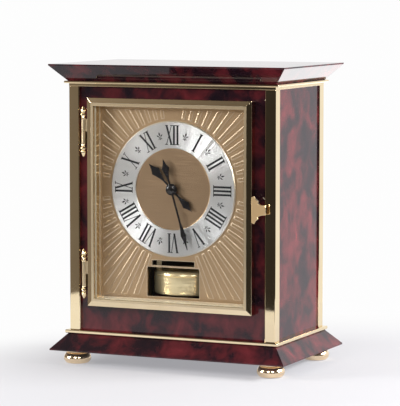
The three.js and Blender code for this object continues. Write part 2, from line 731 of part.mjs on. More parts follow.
function hourHand() {
  const arm = spadeArm(HOUR_LENGTH, HOUR_SPADE, 0.36, 0.72);
  return hand(HOUR_ANGLE, hourHandFront, arm, spadeArm(HOUR_TAIL, TAIL_SPADE, 0.36, 0.72), HOUR_PIPE);
}

function handCap() {
  const [r, h] = [CAP_RADIUS, CAP_RISE];
  const front = minuteHandFront - h;
  return turnedY([
    [0, minuteHandFront], [r, minuteHandFront], [r, front + h * 0.5], [r * 0.7, front + h * 0.12], [0, front],
  ], SIDES_TURNED, 0, handCentre);
}

// Wheels of the movement

function pitchRadius(teeth) {
  return (teeth * TRAIN_MODULE) / 2;
}

function polar(radius, angle) {
  return [radius * Math.cos(angle), radius * Math.sin(angle)];
}

// A toothed wheel about an arbor at x and z, with the middle of one tooth in the given direction
function gear(teeth, direction, front, thick, [x, z]) {
  const tip = pitchRadius(teeth) + ADDENDUM * TRAIN_MODULE;
  const root = pitchRadius(teeth) - DEDENDUM * TRAIN_MODULE;
  const half = Math.PI / teeth;
  const corners = [[root, -TOOTH_ROOT], [tip, -TOOTH_TIP], [tip, TOOTH_TIP], [root, TOOTH_ROOT]];
  const points = [];
  for (let k = 0; k < teeth; k += 1) {
    corners.forEach(([r, share]) => points.push(polar(r, direction + half * (2 * k + share))));
  }
  return plateY(polygon(points.map(([a, b]) => [x + a, z + b])), front, front + thick);
}

// The direction that puts a gap of this wheel where a tooth of its neighbour points
function meshing(direction, teeth) {
  return direction + Math.PI + Math.PI / teeth;
}

function sawWheel(teeth, tip, root, front, thick, [x, z]) {
  const step = (2 * Math.PI) / teeth;
  const points = [];
  for (let k = 0; k < teeth; k += 1) {
    points.push(polar(root, step * k), polar(tip, step * (k + 0.5)), polar(tip, step * (k + 0.6)));
  }
  return plateY(polygon(points.map(([a, b]) => [x + a, z + b])), front, front + thick);
}

function away([x, z], distance, degrees) {
  const [dx, dz] = polar(distance, THREE.MathUtils.degToRad(degrees));
  return [x + dx, z + dz];
}

const centreSpot = [0, handCentre];
const minuteSpot = away(
  centreSpot, pitchRadius(CANNON_TEETH) + pitchRadius(MINUTE_WHEEL_TEETH), MINUTE_WHEEL_BEARING);
const thirdSpot = away(
  centreSpot, pitchRadius(CENTRE_WHEEL_TEETH) + pitchRadius(THIRD_PINION_TEETH), THIRD_BEARING);
const escapeSpot = away(
  thirdSpot, pitchRadius(THIRD_WHEEL_TEETH) + pitchRadius(ESCAPE_PINION_TEETH), ESCAPE_BEARING);
const barrelSpot = away(centreSpot, pitchRadius(CENTRE_PINION_TEETH) + pitchRadius(BARREL_TEETH), -90);
const palletSpot = away(escapeSpot, PALLET_DISTANCE, 90);

const minuteTurn = THREE.MathUtils.degToRad(MINUTE_WHEEL_BEARING);
const thirdTurn = THREE.MathUtils.degToRad(THIRD_BEARING);
const escapeTurn = THREE.MathUtils.degToRad(ESCAPE_BEARING);
const pivotFront = frontPlateFront + MOVEMENT_PLATE / 3;
const pivotBack = backPlateBack - MOVEMENT_PLATE / 3;

function arbor(radius, [x, z], front = pivotFront, back = pivotBack) {
  return rodY(radius, front, back, x, z);
}

function bore(radius, [x, z], front, back) {
  return rodY(radius + RUN, front - 1, back + 1, x, z, SIDES_BORE);
}

function centreWheel() {
  const wheel = gear(CENTRE_WHEEL_TEETH, thirdTurn, centreWheelLayer, WHEEL_THICK, centreSpot);
  const pinion = gear(CENTRE_PINION_TEETH, -Math.PI / 2, barrelRimLayer, PINION_THICK, centreSpot);
  return join(arbor(CENTRE_ARBOR, centreSpot, minuteHandFront), wheel, pinion);
}

function cannonPinion() {
  const pinion = gear(CANNON_TEETH, minuteTurn, minuteWheelLayer, PINION_THICK, centreSpot);
  const pipe = rodY(CANNON_PIPE, minuteHandFront, frontPlateFront - TOUCH, ...centreSpot, SIDES_TURNED);
  return cut(join(pipe, pinion), bore(CENTRE_ARBOR, centreSpot, minuteHandFront, frontPlateFront));
}

function minuteWheel() {
  const facing = meshing(minuteTurn, MINUTE_WHEEL_TEETH);
  const wheel = gear(MINUTE_WHEEL_TEETH, facing, minuteWheelLayer, WHEEL_THICK, minuteSpot);
  const long = PINION_THICK + TOUCH;
  const pinion = gear(MINUTE_PINION_TEETH, minuteTurn + Math.PI, hourWheelLayer, long, minuteSpot);
  const back = frontPlateBack - MOVEMENT_PLATE / 3;
  return join(arbor(ARBOR_RADIUS, minuteSpot, hourWheelLayer, back), wheel, pinion);
}

function hourWheel() {
  const facing = meshing(minuteTurn + Math.PI, HOUR_WHEEL_TEETH);
  const wheel = gear(HOUR_WHEEL_TEETH, facing, hourWheelLayer, WHEEL_THICK, centreSpot);
  const back = hourWheelLayer + WHEEL_THICK;
  const pipe = rodY(HOUR_PIPE, hourHandFront, back, ...centreSpot, SIDES_TURNED);
  return cut(join(pipe, wheel), bore(CANNON_PIPE, centreSpot, hourHandFront, back));
}

function thirdWheel() {
  const pinionFacing = meshing(thirdTurn, THIRD_PINION_TEETH);
  const pinion = gear(THIRD_PINION_TEETH, pinionFacing, centreWheelLayer, PINION_THICK, thirdSpot);
  const wheel = gear(THIRD_WHEEL_TEETH, escapeTurn, thirdWheelLayer, WHEEL_THICK, thirdSpot);
  return join(arbor(ARBOR_RADIUS, thirdSpot), pinion, wheel);
}

function escapeWheel() {
  const pinionFacing = meshing(escapeTurn, ESCAPE_PINION_TEETH);
  const pinion = gear(ESCAPE_PINION_TEETH, pinionFacing, thirdWheelLayer, PINION_THICK, escapeSpot);
  const wheel = sawWheel(ESCAPE_TEETH, ESCAPE_RADIUS, ESCAPE_ROOT, escapeWheelLayer, WHEEL_THICK, escapeSpot);
  return join(arbor(ARBOR_RADIUS, escapeSpot), pinion, wheel);
}

function palletLever() {
  const [x, z] = palletSpot;
  const span = THREE.MathUtils.degToRad(PALLET_SPAN);
  const reach = ESCAPE_RADIUS + PALLET_CLEAR;
  const arms = [-1, 1].map((i) => {
    const end = new THREE.Vector2(i * reach * Math.sin(span), reach * Math.cos(span) - PALLET_DISTANCE);
    const side = new THREE.Vector2(-end.y, end.x).setLength(PALLET_WIDTH / 2);
    const points = [side, side.clone().add(end), end.clone().sub(side), side.clone().negate()];
    const shape = polygon(points.map((p) => [x + p.x, z + p.y]));
    return plateY(shape, escapeWheelLayer, escapeWheelLayer + WHEEL_THICK);
  });
  const hub = rodY(PALLET_HUB, escapeWheelLayer, escapeWheelLayer + WHEEL_THICK, x, z);
  return join(arbor(ARBOR_RADIUS, palletSpot), hub, ...arms);
}

function barrel() {
  const facing = meshing(-Math.PI / 2, BARREL_TEETH);
  const rim = gear(BARREL_TEETH, facing, barrelRimLayer, WHEEL_THICK, barrelSpot);
  const front = barrelRimLayer - BARREL_DEPTH;
  const drum = rodY(BARREL_DRUM, front, barrelRimLayer, ...barrelSpot, SIDES_BORE);
  return cut(join(drum, rim), bore(WINDING_ARBOR, barrelSpot, front, barrelRimLayer + WHEEL_THICK));
}

function windingArbor() {
  const front = backPlateBack + TOUCH;
  const ratchet = sawWheel(RATCHET_TEETH, RATCHET_RADIUS, RATCHET_ROOT, front, WHEEL_THICK, barrelSpot);
  return join(arbor(WINDING_ARBOR, barrelSpot, pivotFront, backPlateBack + WINDING_REACH), ratchet);
}

// Movement frame

function movementPlate(front, holes) {
  const shape = polygon(rectangle(MOVEMENT_WIDTH, platformTop, handCentre + MOVEMENT_RISE));
  const back = front + MOVEMENT_PLATE;
  return cut(plateY(shape, front, back), ...holes.map(([radius, spot]) => bore(radius, spot, front, back)));
}

const trainHoles = [
  [CENTRE_ARBOR, centreSpot], [ARBOR_RADIUS, thirdSpot], [ARBOR_RADIUS, escapeSpot],
  [ARBOR_RADIUS, palletSpot], [WINDING_ARBOR, barrelSpot],
];

function movementFrontPlate() {
  return movementPlate(frontPlateFront, [[ARBOR_RADIUS, minuteSpot], ...trainHoles]);
}

// The back plate with the two pillars that are riveted into it
function movementBackPlate() {
  const plate = movementPlate(backPlateFront, trainHoles);
  const z = handCentre + MOVEMENT_RISE - PILLAR_INSET;
  const x = MOVEMENT_WIDTH / 2 - PILLAR_INSET;
  const sunk = backPlateFront + MOVEMENT_PLATE / 2;
  const pillars = [-x, x].map((at) => rodY(PILLAR_RADIUS, frontPlateBack, sunk, at, z));
  return join(plate, ...pillars);
}

// The platform that carries the movement, with the upright that carries the temperature motor
function movementPlatform() {
  const half = PLATFORM_WIDTH / 2;
  const floor = box([-half, half], [frontPlateFront, bracketBack], [platformBottom, platformTop]);
  const side = BRACKET_WIDTH / 2;
  const top = handCentre + BRACKET_RISE;
  const upright = box([-side, side], [bracketFront, bracketBack], [platformBottom, top]);
  const wireHole = rodZ(WIRE_HOLE, platformBottom - 1, platformTop + 1, 0, pendulumAxis, SIDES_BORE);
  const rodHole = rodY(PLUNGER_ROD + RUN, bracketFront - 1, bracketBack + 1, 0, handCentre, SIDES_BORE);
  return cut(join(floor, upright), wireHole, rodHole);
}

function platformColumn(i) {
  const flangeTop = postBottom + COLUMN_FLANGE_HEIGHT;
  return turnedZ([
    [0, postBottom], [COLUMN_FLANGE, postBottom], [COLUMN_FLANGE, flangeTop], [COLUMN_RADIUS, flangeTop],
    [COLUMN_RADIUS, platformBottom], [0, platformBottom],
  ], SIDES_ARBOR, i * (PLATFORM_WIDTH / 2 - COLUMN_INSET), pendulumAxis);
}

// Pendulum and suspension

function pendulumRing() {
  const [r1, c, lip, groove] = [PENDULUM_RADIUS, PENDULUM_ROUND, PENDULUM_LIP, PENDULUM_GROOVE];
  const r0 = r1 - PENDULUM_WALL;
  const lipBottom = ringTop - lip;
  const rounding = [0, 30, 60, 90].map((degrees) => {
    const angle = THREE.MathUtils.degToRad(degrees);
    return [r1 - lip + lip * Math.cos(angle), lipBottom + lip * Math.sin(angle)];
  });
  return turnedZ([
    [r0, ringBottom], [r1 - c, ringBottom], [r1, ringBottom + c], [r1, lipBottom - 2 * groove],
    [r1 - groove, lipBottom - groove], ...rounding, [r0, ringTop], [r0, ringBottom],
  ], SIDES_LARGE, 0, pendulumAxis);
}

function pendulumStrap() {
  const [reach, half] = [PENDULUM_RADIUS - PENDULUM_WALL / 4, STRAP_WIDTH / 2];
  const legInner = reach - PENDULUM_WALL / 2;
  const bar = new THREE.BoxGeometry(2 * reach, STRAP_WIDTH, STRAP_THICK);
  const strap = [solid(bar.translate(0, 0, strapBottom + STRAP_THICK / 2))];
  [-1, 1].forEach((i) => {
    const span = i > 0 ? [legInner, reach] : [-reach, -legInner];
    strap.push(box(span, [-half, half], [ringTop, strapBottom + STRAP_THICK / 2]));
  });
  const hub = rodZ(HUB_RADIUS, strapBottom, hubTop, 0, 0, SIDES_TURNED);
  return join(hub, ...strap).rotate([0, 0, STRAP_BEARING]).translate([0, pendulumAxis, 0]);
}

function suspensionWire() {
  return rodZ(WIRE_RADIUS, hubTop, tubeTop - TUBE_WALL - TOUCH, 0, pendulumAxis);
}

function suspensionTube() {
  const inner = TUBE_RADIUS - TUBE_WALL;
  return turnedZ([
    [inner, platformTop], [TUBE_RADIUS, platformTop], [TUBE_RADIUS, tubeTop], [0, tubeTop],
    [0, tubeTop - TUBE_WALL], [inner, tubeTop - TUBE_WALL], [inner, platformTop],
  ], SIDES_TURNED, 0, pendulumAxis);
}

// Temperature motor

function bellowsHousing() {
  const [r1, r0] = [BELLOWS_RADIUS, BELLOWS_RADIUS - BELLOWS_WALL];
  const floor = bellowsBack - BELLOWS_WALL;
  return turnedY([
    [0, bellowsBack], [r1, bellowsBack], [r1, bracketBack], [r0, bracketBack], [r0, floor], [0, floor],
  ], SIDES_BORE, 0, handCentre);
}

function bellowsCapsule() {
  const pitch = CAPSULE_DEPTH / CAPSULE_FOLDS;
  const folds = [];
  for (let k = 0; k < CAPSULE_FOLDS; k += 1) {
    const start = capsuleFront + k * pitch;
    folds.push([CAPSULE_RADIUS - CAPSULE_FOLD_DEPTH, start], [CAPSULE_RADIUS, start + pitch / 2]);
  }
  const end = [CAPSULE_RADIUS - CAPSULE_FOLD_DEPTH, capsuleBack];
  return turnedY([[0, capsuleFront], ...folds, end, [0, capsuleBack]], SIDES_BORE, 0, handCentre);
}

function bellowsPlunger() {
  const rodFront = bracketFront - PLUNGER_ROD_REACH;
  return turnedY([
    [0, rodFront], [PLUNGER_ROD, rodFront], [PLUNGER_ROD, plungerFront], [PLUNGER_RADIUS, plungerFront],
    [PLUNGER_RADIUS, plungerBack], [0, plungerBack],
  ], SIDES_TURNED, 0, handCentre);
}

class SpringLine extends THREE.Curve {
  constructor(start, length) {
    super();
    this.start = start;
    this.length = length;
  }

  getPoint(t) {
    const angle = 2 * Math.PI * SPRING_TURNS * t;
    const [x, z] = polar(SPRING_RADIUS, angle);
    return new THREE.Vector3(x, this.start + this.length * t, handCentre + z);
  }
}

function counterSpring() {
  const start = bracketBack + SPRING_WIRE + TOUCH;
  const line = new SpringLine(start, plungerFront - SPRING_WIRE - TOUCH - start);
  const section = polygon([0, 1, 2, 3, 4].map((k) => polar(SPRING_WIRE, (2 * Math.PI * k) / 5)));
  const geometry = new THREE.ExtrudeGeometry(section, { steps: 8 * SPRING_TURNS, extrudePath: line });
  return solid(geometry);
}

const sides = { left: -1, right: 1 };

function buildCase() {
  place('base_plinth', plinth(), LACQUER);
  place('base_moulding', baseMoulding(), POLISHED_BRASS);
  place('top_moulding', topMoulding(), POLISHED_BRASS);
  place('top_cornice', cornice(), LACQUER);
  place('front_panel', frontPanel(), LACQUER);
  place('back_panel', backPanel(), LACQUER);
  Object.entries(sides).forEach(([side, i]) => {
    place(`corner_post_front_${side}`, cornerPost(i, -1), POLISHED_BRASS);
    place(`corner_post_rear_${side}`, cornerPost(i, 1), POLISHED_BRASS);
    place(`side_panel_${side}`, sidePanel(i), LACQUER);
    place(`foot_rear_${side}`, foot(i * footX, footY), POLISHED_BRASS);
    place(`levelling_foot_${side}`, foot(i * footX, -footY), POLISHED_BRASS);
    screwHeights.forEach((z, level) => {
      place(`back_screw_${level ? 'upper' : 'lower'}_${side}`, backScrew(i * screwX, z), POLISHED_BRASS);
    });
  });
}

function buildDoor() {
  place('door_frame', doorFrame(), POLISHED_BRASS);
  place('door_glass', doorGlass(), CLEAR_GLASS);
  place('glass_bead', glassBead(), POLISHED_BRASS);
  place('door_pull', doorPull(), POLISHED_BRASS);
  Object.entries(hingeHeights).forEach(([level, z]) => {
    place(`door_knuckle_${level}`, doorKnuckle(z), POLISHED_BRASS);
    place(`case_knuckle_${level}`, caseKnuckle(z), POLISHED_BRASS);
    place(`hinge_pin_${level}`, hingePin(z), POLISHED_BRASS);
  });
}

function buildDial() {
  place('dial_surround', dialSurround(), POLISHED_BRASS);
  place('dial_plate', dialPlate(), GILT);
  place('chapter_ring', chapterRing(), SILVERED);
  place('dial_centre', dialCentre(), GILT);
  place('hour_hand', hourHand(), BLACK_STEEL);
  place('minute_hand', minuteHand(), BLACK_STEEL);
  place('hand_cap', handCap(), BLACK_STEEL);
}

function buildMovement() {
  place('movement_platform', movementPlatform(), GILT);
  place('movement_front_plate', movementFrontPlate(), GILT);
  place('movement_back_plate', movementBackPlate(), GILT);
  Object.entries(sides).forEach(([side, i]) => {
    place(`platform_column_${side}`, platformColumn(i), GILT);
  });
  place('centre_wheel', centreWheel(), GILT);
  place('cannon_pinion', cannonPinion(), STEEL);
  place('minute_wheel', minuteWheel(), GILT);
  place('hour_wheel', hourWheel(), GILT);
  place('third_wheel', thirdWheel(), GILT);
  place('escape_wheel', escapeWheel(), GILT);
  place('pallet_lever', palletLever(), STEEL);
  place('barrel', barrel(), GILT);
  place('winding_arbor', windingArbor(), STEEL);
}

function buildPendulum() {
  place('pendulum_ring', pendulumRing(), POLISHED_BRASS);
  place('pendulum_strap', pendulumStrap(), POLISHED_BRASS);
  place('suspension_wire', suspensionWire(), STEEL);
  place('suspension_tube', suspensionTube(), GILT);
  place('bellows_housing', bellowsHousing(), GILT);
  place('bellows_capsule', bellowsCapsule(), STEEL);
  place('bellows_plunger', bellowsPlunger(), STEEL);
  place('counter_spring', counterSpring(), STEEL);
}

buildCase();
buildDoor();
buildDial();
buildMovement();
buildPendulum();

export default clock;
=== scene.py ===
import json
from math import cos, pi, radians, sin, tan

import bmesh
import bpy
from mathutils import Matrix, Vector

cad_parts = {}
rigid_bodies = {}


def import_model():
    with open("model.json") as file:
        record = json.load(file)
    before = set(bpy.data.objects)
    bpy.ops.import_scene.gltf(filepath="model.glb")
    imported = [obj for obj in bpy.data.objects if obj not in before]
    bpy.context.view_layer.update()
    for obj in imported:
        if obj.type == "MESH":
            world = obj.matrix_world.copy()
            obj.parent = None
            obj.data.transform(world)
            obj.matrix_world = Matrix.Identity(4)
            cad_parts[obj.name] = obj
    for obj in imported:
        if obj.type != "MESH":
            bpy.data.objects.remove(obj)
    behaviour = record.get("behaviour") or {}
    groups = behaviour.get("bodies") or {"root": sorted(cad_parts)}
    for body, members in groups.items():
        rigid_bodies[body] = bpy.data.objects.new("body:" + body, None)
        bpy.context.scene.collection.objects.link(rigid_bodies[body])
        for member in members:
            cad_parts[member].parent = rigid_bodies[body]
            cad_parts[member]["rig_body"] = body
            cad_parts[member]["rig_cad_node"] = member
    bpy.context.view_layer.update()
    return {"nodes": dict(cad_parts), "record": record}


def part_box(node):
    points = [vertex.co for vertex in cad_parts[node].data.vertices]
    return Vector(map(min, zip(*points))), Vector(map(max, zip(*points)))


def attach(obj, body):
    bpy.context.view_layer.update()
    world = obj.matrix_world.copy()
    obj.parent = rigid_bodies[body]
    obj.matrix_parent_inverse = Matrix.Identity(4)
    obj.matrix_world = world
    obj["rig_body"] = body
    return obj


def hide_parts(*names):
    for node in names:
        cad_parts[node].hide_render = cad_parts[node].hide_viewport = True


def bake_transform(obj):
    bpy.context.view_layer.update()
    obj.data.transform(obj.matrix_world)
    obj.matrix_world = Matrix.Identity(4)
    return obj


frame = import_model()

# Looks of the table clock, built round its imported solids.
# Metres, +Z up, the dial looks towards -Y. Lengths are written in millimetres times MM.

nodes = frame["nodes"]
MM = 0.001
X_AXIS = Vector((1, 0, 0))
Y_AXIS = Vector((0, 1, 0))
Z_AXIS = Vector((0, 0, 1))
ORIGIN = Vector((0, 0, 0))
MERGE = 0.002 * MM  # corners closer than this are one

# Places taken from the solids
ring_lo, ring_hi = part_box("chapter_ring")
disc_lo, disc_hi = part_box("dial_centre")
dial_face = ring_hi.y
ring_face = ring_lo.y
ring_outer = ring_hi.x
hand_spot = Vector((0, dial_face, (ring_lo.z + ring_hi.z) / 2))

# Dial details, in millimetres
RING_WIDTH = 22.1
NUMERAL_FOOT = 35.6
NUMERAL_HEAD = 51.4
THICK_STROKE = 1.6
THIN_STROKE = 0.55
SERIF = 0.6
STROKE_PITCH = 3.1
LETTER_SPACE = {"I": STROKE_PITCH, "V": 6.0, "X": 5.6}
HOURS = ["XII", "I", "II", "III", "IIII", "V", "VI", "VII", "VIII", "IX", "X", "XI"]
HOUR_STEP = 30  # degrees
MARK_RADIUS = 43.6
INK_THICK = 0.06
RAY_PITCH = 6  # degrees
RAY_WIDTH = 2.9  # degrees
RAY_GAPS = {0: 6, 90: 6, 180: 18, 270: 6, 360: 6}  # no ray within so many degrees of these
RAY_START = 57
RAY_REACH = 112  # before the rays are cut to the rectangle
RAY_SIDE = 62.9
RAY_TOP = 63.3
RAY_BOTTOM = -86.8
RAY_STEP = 0.05
RAY_SLOPE = 0.52
RAY_RISE = 0.12
DISC_HOLE = 3.6  # radius
WINDOW_SIZE = (46, 23.8)
WINDOW_LEVEL = 70.5
SLOT_SIZE = (37.2, 4)
SLOT_LEVEL = 85.9
RIM_MARGIN = 1.3
RIM_WIDTH = 0.6
RIM_RISE = 0.22
RIM_EASE = 0.15

# The finial at each end of a hinge pin, in millimetres, and its outline in shares of its radius and length
PIN_RADIUS = 0.95
FINIAL_RADIUS = 2.3
FINIAL_LENGTH = 10.2
FINIAL = [
    (0.86, 0), (0.92, 0.03), (0.92, 0.1), (0.62, 0.14), (0.58, 0.18), (0.85, 0.24), (1, 0.32), (0.85, 0.4),
    (0.62, 0.46), (0.62, 0.49), (0.9, 0.54), (0.97, 0.6), (0.9, 0.68), (0.72, 0.78), (0.5, 0.9), (0.28, 0.97)]

# The camera, as fitted to the case's straight edges, and the direction away from it over the table
CAMERA_SPOT = Vector((801.13, -1762.65, 313.57)) * MM
CAMERA_YAW = radians(24.37)
CAMERA_PITCH = radians(5.39)
CAMERA_LENS = 210.26
away = Vector((-sin(CAMERA_YAW), cos(CAMERA_YAW), 0))

# The table, in metres: its size, and how far it reaches to the left of the clock and in front of it
TABLE_TURN = radians(16.4)
TABLE_WIDE = 3.5
TABLE_DEEP = 3.4
TABLE_LEFT = 0.4
TABLE_NEAR = 0.366


class Shade:
    """A shader socket that can stand in a sum or a product."""

    def __init__(self, finish, socket):
        self.finish = finish
        self.socket = socket

    def other(self, output):
        """Another output of the same node."""
        return Shade(self.finish, self.finish.socket(self.socket.node.outputs, output))

    def maths(self, operation, first, second):
        return self.finish.node("ShaderNodeMath", {"operation": operation}, {0: first, 1: second})

    def __add__(self, other):
        return self.maths("ADD", self, other)

    def __radd__(self, other):
        return self.maths("ADD", other, self)

    def __sub__(self, other):
        return self.maths("SUBTRACT", self, other)

    def __rsub__(self, other):
        return self.maths("SUBTRACT", other, self)

    def __mul__(self, other):
        return self.maths("MULTIPLY", self, other)

    def __rmul__(self, other):
        return self.maths("MULTIPLY", other, self)

    def __truediv__(self, other):
        return self.maths("DIVIDE", self, other)

    def __pow__(self, other):
        return self.maths("POWER", self, other)


class Finish:
    """The nodes of a material or of the world."""

    def __init__(self, owner):
        owner.use_nodes = True
        self.owner = owner
        self.nodes = owner.node_tree.nodes
        self.links = owner.node_tree.links
        self.nodes.clear()

    @staticmethod
    def socket(sockets, key):
        usable = [s for s in sockets if s.enabled]
        return usable[key] if isinstance(key, int) else next(s for s in usable if s.name == key)

    def node(self, kind, settings, sockets, output=0):
        node = self.nodes.new(kind)
        for name, value in settings.items():
            if name == "stops":
                ramp = node.color_ramp.elements
                while len(ramp) < len(value):
                    ramp.new(1)
                for stop, (place, colour) in zip(ramp, value):
                    stop.position = place
                    stop.color = (*colour, 1)
            else:
                setattr(node, name, value)
        for key, value in sockets.items():
            socket = self.socket(node.inputs, key)
            if isinstance(value, Shade):
                self.links.new(value.socket, socket)
            else:
                socket.default_value = value
        return Shade(self, self.socket(node.outputs, output)) if node.outputs else node

    def place(self):
        return self.node("ShaderNodeTexCoord", {}, {}, "Object")

    def axes(self, vector):
        first = self.node("ShaderNodeSeparateXYZ", {}, {0: vector})
        return [first, first.other(1), first.other(2)]

    def noise(self, vector, scale, detail=3.0, distortion=0.0):
        return self.node("ShaderNodeTexNoise", {}, {
            "Vector": vector, "Scale": scale, "Detail": detail, "Distortion": distortion})

    def stretched(self, scale):
        return self.node("ShaderNodeMapping", {}, {"Vector": self.place(), "Scale": scale})

    def mixed(self, share, first, second):
        return self.node("ShaderNodeMix", {"data_type": "RGBA"}, {
            "Factor": share, "A": (*first, 1), "B": (*second, 1)})

    def ramp(self, share, stops):
        return self.node("ShaderNodeValToRGB", {"stops": stops}, {"Fac": share})

    def eased(self, value, low, high, first=0.0, last=1.0):
        """A smooth step from first to last as the value goes from low to high."""
        return self.node("ShaderNodeMapRange", {"interpolation_type": "SMOOTHSTEP"}, {
            "Value": value, "From Min": low, "From Max": high, "To Min": first, "To Max": last})

    def unit(self, vector):
        return self.node("ShaderNodeVectorMath", {"operation": "NORMALIZE"}, {0: vector})

    def output(self, shader):
        self.node("ShaderNodeOutputMaterial", {}, {"Surface": shader})
        return self.owner

    def bump(self, height, strength, depth):
        return self.node("ShaderNodeBump", {}, {"Strength": strength, "Distance": depth, "Height": height})

    def surface(self, **values):
        shader = self.node("ShaderNodeBsdfPrincipled", {}, {
            name.replace("_", " "): value for name, value in values.items()})
        return self.output(shader)


def new_finish(name):
    return Finish(bpy.data.materials.new(name))


def mottled_lacquer(name, haze):
    """Dark red clouds under a clear coat, which is more or less hazy."""
    f = new_finish(name)
    cloud = f.noise(f.stretched((1, 1, 0.85)), 62, 4, 0.5)
    veil = f.noise(f.place(), 20, 2)
    speck = f.noise(f.place(), 420, 2)
    depth = 0.72 * cloud + 0.34 * veil - 0.055 + 0.05 * speck
    colour = f.ramp(depth, [
        (0.35, (0.009, 0.005, 0.009)), (0.45, (0.020, 0.007, 0.011)),
        (0.55, (0.066, 0.011, 0.015)), (0.72, (0.132, 0.018, 0.024))])
    return f.surface(
        Base_Color=colour, Roughness=0.2 + 0.1 * veil, Coat_Weight=0.95 + 0.05 * veil, Coat_Roughness=haze,
        Coat_IOR=1.44, Specular_IOR_Level=0.0)


def polished_metal(name, dull, bright, rough, smear, metal=1.0):
    f = new_finish(name)
    cloud = f.noise(f.place(), 48, 5, 0.4)
    fine = f.noise(f.place(), 900, 3)
    return f.surface(
        Base_Color=f.mixed(cloud, dull, bright), Metallic=metal, Roughness=rough + smear * cloud * fine,
        Normal=f.bump(f.noise(f.place(), 160, 2), 0.012, 0.4 * MM))


def satin_metal(name, dull, bright, rough, grain):
    f = new_finish(name)
    cloud = f.noise(f.place(), 30, 3)
    fine = f.noise(f.place(), 3200, 2)
    return f.surface(
        Base_Color=f.mixed(0.6 * cloud + 0.4 * fine, dull, bright), Metallic=1.0,
        Roughness=rough + 0.12 * fine, Normal=f.bump(fine, grain, 0.05 * MM))


def sunray_silver():
    """Fine lines that run out from the hands' axis and spread what they mirror round it."""
    f = new_finish("sunray_silver")
    x, _, height = f.axes(f.place())
    z = height - hand_spot.z
    reach = (x * x + z * z) ** 0.5
    turn = f.node("ShaderNodeMath", {"operation": "ARCTAN2"}, {0: x, 1: z})
    lines = f.node("ShaderNodeTexNoise", {"noise_dimensions": "1D"}, {
        "W": turn * 420, "Scale": 1.0, "Detail": 4.0})
    tilt = (lines - 0.5) * 2.1
    leant = f.node("ShaderNodeCombineXYZ", {}, {
        "X": tilt * z / reach, "Y": -1.0, "Z": -1 * tilt * x / reach})
    return f.surface(
        Base_Color=f.mixed(lines, (0.80, 0.80, 0.82), (0.93, 0.93, 0.94)), Metallic=1.0,
        Roughness=0.29 + 0.06 * lines, Normal=f.unit(leant))


def brushed_gilt():
    """Level brush lines, which spread what they mirror up and down."""
    f = new_finish("brushed_gilt")
    lines = f.noise(f.stretched((40, 40, 5200)), 1.0, 3)
    cloud = f.noise(f.place(), 40, 3)
    tilt = (lines - 0.5) * 0.7
    leant = f.node("ShaderNodeCombineXYZ", {}, {"X": 0.0, "Y": -1.0, "Z": tilt})
    return f.surface(
        Base_Color=f.mixed(0.5 * lines + 0.5 * cloud, (0.42, 0.285, 0.18), (0.50, 0.35, 0.225)), Metallic=1.0,
        Roughness=0.36 + 0.1 * lines, Normal=f.unit(leant))


def turned_brass():
    """Fine turning round the pendulum, which spreads what it mirrors up and down."""
    f = new_finish("turned_brass")
    lines = f.noise(f.stretched((30, 30, 5200)), 1.0, 3)
    cloud = f.noise(f.place(), 60, 3)
    tilt = (lines - 0.5) * 1.0
    lean = f.node("ShaderNodeCombineXYZ", {}, {"X": 0.0, "Y": 0.0, "Z": tilt})
    straight = f.node("ShaderNodeNewGeometry", {}, {}, "Normal")
    leant = f.node("ShaderNodeVectorMath", {"operation": "ADD"}, {0: straight, 1: lean})
    return f.surface(
        Base_Color=f.mixed(0.5 * lines + 0.5 * cloud, (0.97, 0.78, 0.45), (1.0, 0.88, 0.58)), Metallic=0.6,
        Roughness=0.18 + 0.08 * cloud, Normal=f.unit(leant))


def gloss_black():
    f = new_finish("gloss_black")
    cloud = f.noise(f.place(), 300, 3)
    return f.surface(
        Base_Color=f.mixed(cloud, (0.006, 0.006, 0.008), (0.016, 0.016, 0.02)), Roughness=0.16 + 0.08 * cloud,
        Coat_Weight=0.6 * cloud + 0.3, Coat_Roughness=0.05)


def printed_black():
    f = new_finish("printed_black")
    cloud = f.noise(f.place(), 700, 3)
    return f.surface(
        Base_Color=f.mixed(cloud, (0.008, 0.009, 0.014), (0.02, 0.022, 0.03)), Roughness=0.38 + 0.15 * cloud)


def door_glass():
    f = new_finish("door_glass")
    streak = f.noise(f.stretched((8, 8, 3)), 2.0, 2)
    clear = f.node("ShaderNodeBsdfTransparent", {}, {"Color": (0.985, 0.99, 0.985, 1)})
    gloss = f.node("ShaderNodeBsdfGlossy", {}, {"Color": (1, 1, 1, 1), "Roughness": 0.02})
    edge = f.node("ShaderNodeFresnel", {}, {"IOR": 1.5})
    return f.output(f.node("ShaderNodeMixShader", {}, {0: edge * (0.3 + 0.1 * streak), 1: clear, 2: gloss}))


lacquer = mottled_lacquer("mottled_lacquer", 0.02)
satin_lacquer = mottled_lacquer("satin_lacquer", 0.2)
brass = polished_metal("polished_brass", (0.84, 0.67, 0.42), (0.94, 0.80, 0.55), 0.025, 0.07)
pale_brass = satin_metal("satin_brass", (0.76, 0.60, 0.38), (0.88, 0.73, 0.50), 0.26, 0.05)
reveal_brass = polished_metal("reveal_brass", (0.88, 0.74, 0.52), (0.96, 0.84, 0.64), 0.08, 0.08, metal=0.65)
# A pale brass that is mostly not metal, for faces that look up or to the front: a painted reflection of the
# lit dial on the sill and the bead.
sheen_painted_brass = polished_metal("sheen_painted_brass", (0.94, 0.85, 0.64), (0.99, 0.93, 0.77), 0.2, 0.1, metal=0.2)
foot_brass = polished_metal("foot_brass", (0.86, 0.66, 0.44), (0.95, 0.77, 0.54), 0.12, 0.12)
bright_cut = polished_metal("bright_cut_gilt", (0.76, 0.60, 0.43), (0.86, 0.70, 0.52), 0.38, 0.1)
gilt = satin_metal("satin_gilt", (0.64, 0.445, 0.275), (0.73, 0.515, 0.32), 0.32, 0.12)
pull_gilt = satin_metal("pull_gilt", (0.72, 0.50, 0.26), (0.88, 0.64, 0.36), 0.34, 0.08)
disc_gilt = brushed_gilt()
drum_brass = turned_brass()
silver = sunray_silver()
